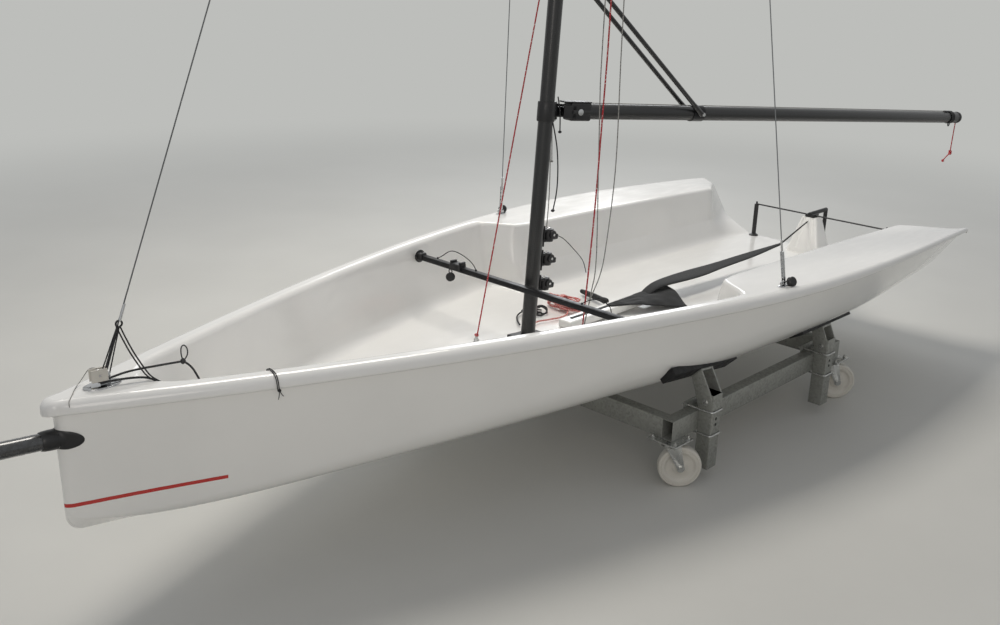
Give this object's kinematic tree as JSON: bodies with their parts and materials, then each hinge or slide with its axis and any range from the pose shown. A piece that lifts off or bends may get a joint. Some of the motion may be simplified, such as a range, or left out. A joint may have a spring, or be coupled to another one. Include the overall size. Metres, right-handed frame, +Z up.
{
  "type": "sailing dinghy on wheeled cradle",
  "caption": "Open two-person sailing dinghy with raked mast, boom and bowsprit, no sails, standing on a galvanised cradle with swivel castors.",
  "frame": {"origin": "on the floor below the middle of the cradle, on the boat's centre line", "axes": "+X to the bow, +Y to port, +Z up"},
  "size_m": [5.2446, 1.7214, 6.6078],
  "materials": {
    "gelcoat_white": "white gloss gelcoat, fine non-slip on the decks",
    "spar_black": "black woven carbon, clear coated",
    "plastic_black": "moulded black nylon",
    "alloy_dark": "black anodised alloy",
    "stainless": "polished stainless",
    "wire": "stainless wire rope",
    "webbing_grey": "dark padded webbing",
    "galvanised": "hot dipped zinc, dull",
    "zinc_plated": "bright zinc plate",
    "rubber_black": "black rubber",
    "nylon_white": "white cast nylon"
  },
  "bodies": {
    "boat_on_cradle": {"hull_shell": "gelcoat_white", "deck_moulding": "gelcoat_white", "gunwale_rail": "gelcoat_white", "transom_pedestal": "gelcoat_white", "rudder_bracket": "spar_black", "sheet_posts": "spar_black", "centreboard_case": "gelcoat_white", "stem_fitting": "stainless", "bowsprit_tube": "spar_black", "bowsprit_sleeve": "plastic_black", "bowsprit_cap": "plastic_black", "mast_tube": "spar_black", "mast_step": "plastic_black", "masthead": "plastic_black", "gooseneck_bracket": "alloy_dark", "strut_bracket": "alloy_dark", "spreaders": "spar_black", "mast_cleat_blocks": "plastic_black", "forestay": "wire", "shroud_port": "wire", "shroud_starboard": "wire", "shroud_adjusters": "stainless", "chainplates": "stainless", "jib_track": "alloy_dark", "jib_car": "plastic_black", "hiking_strap": "webbing_grey", "cradle_beam_port": "galvanised", "cradle_beam_starboard": "galvanised", "cradle_beam_front": "galvanised", "cradle_beam_rear": "galvanised", "cradle_posts": "galvanised", "cradle_keel_pads": "rubber_black", "cradle_pads": "rubber_black", "cradle_pad_arms": "galvanised", "castor_plates": "zinc_plated"},
    "boom": {"boom_tube": "spar_black", "boom_toggle": "alloy_dark", "boom_end": "plastic_black", "strut_swivel": "alloy_dark", "boom_struts": "spar_black", "strut_band": "alloy_dark"},
    "castor_front_port": {"castor_fork_front_port": "zinc_plated"},
    "wheel_front_port": {"castor_wheel_front_port": "nylon_white"},
    "castor_front_starboard": {"castor_fork_front_starboard": "zinc_plated"},
    "wheel_front_starboard": {"castor_wheel_front_starboard": "nylon_white"},
    "castor_rear_port": {"castor_fork_rear_port": "zinc_plated"},
    "wheel_rear_port": {"castor_wheel_rear_port": "nylon_white"},
    "castor_rear_starboard": {"castor_fork_rear_starboard": "zinc_plated"},
    "wheel_rear_starboard": {"castor_wheel_rear_starboard": "nylon_white"}
  },
  "joints": [
    {"name": "boom_swing", "type": "hinge", "parent": "boat_on_cradle", "child": "boom", "pos_m": [0.59831, 0, 1.32307], "axis": [-0.0645, 0, 0.9979], "range_deg": [-37, 67]},
    {"name": "swivel_front_port", "type": "hinge", "parent": "boat_on_cradle", "child": "castor_front_port", "pos_m": [0.615, 0.655, 0.15], "axis": [0, 0, 1], "continuous": true},
    {"name": "roll_front_port", "type": "hinge", "parent": "castor_front_port", "child": "wheel_front_port", "pos_m": [0.5853, 0.6847, 0.0825], "axis": [-0.7071, -0.7071, 0], "continuous": true},
    {"name": "swivel_front_starboard", "type": "hinge", "parent": "boat_on_cradle", "child": "castor_front_starboard", "pos_m": [0.615, -0.655, 0.15], "axis": [0, 0, 1], "continuous": true},
    {"name": "roll_front_starboard", "type": "hinge", "parent": "castor_front_starboard", "child": "wheel_front_starboard", "pos_m": [0.5853, -0.6847, 0.0825], "axis": [0.7071, -0.7071, 0], "continuous": true},
    {"name": "swivel_rear_port", "type": "hinge", "parent": "boat_on_cradle", "child": "castor_rear_port", "pos_m": [-0.615, 0.655, 0.15], "axis": [0, 0, 1], "continuous": true},
    {"name": "roll_rear_port", "type": "hinge", "parent": "castor_rear_port", "child": "wheel_rear_port", "pos_m": [-0.6447, 0.6847, 0.0825], "axis": [-0.7071, -0.7071, 0], "continuous": true},
    {"name": "swivel_rear_starboard", "type": "hinge", "parent": "boat_on_cradle", "child": "castor_rear_starboard", "pos_m": [-0.615, -0.655, 0.15], "axis": [0, 0, 1], "continuous": true},
    {"name": "roll_rear_starboard", "type": "hinge", "parent": "castor_rear_starboard", "child": "wheel_rear_starboard", "pos_m": [-0.6447, -0.6847, 0.0825], "axis": [0.7071, -0.7071, 0], "continuous": true}
  ]
}
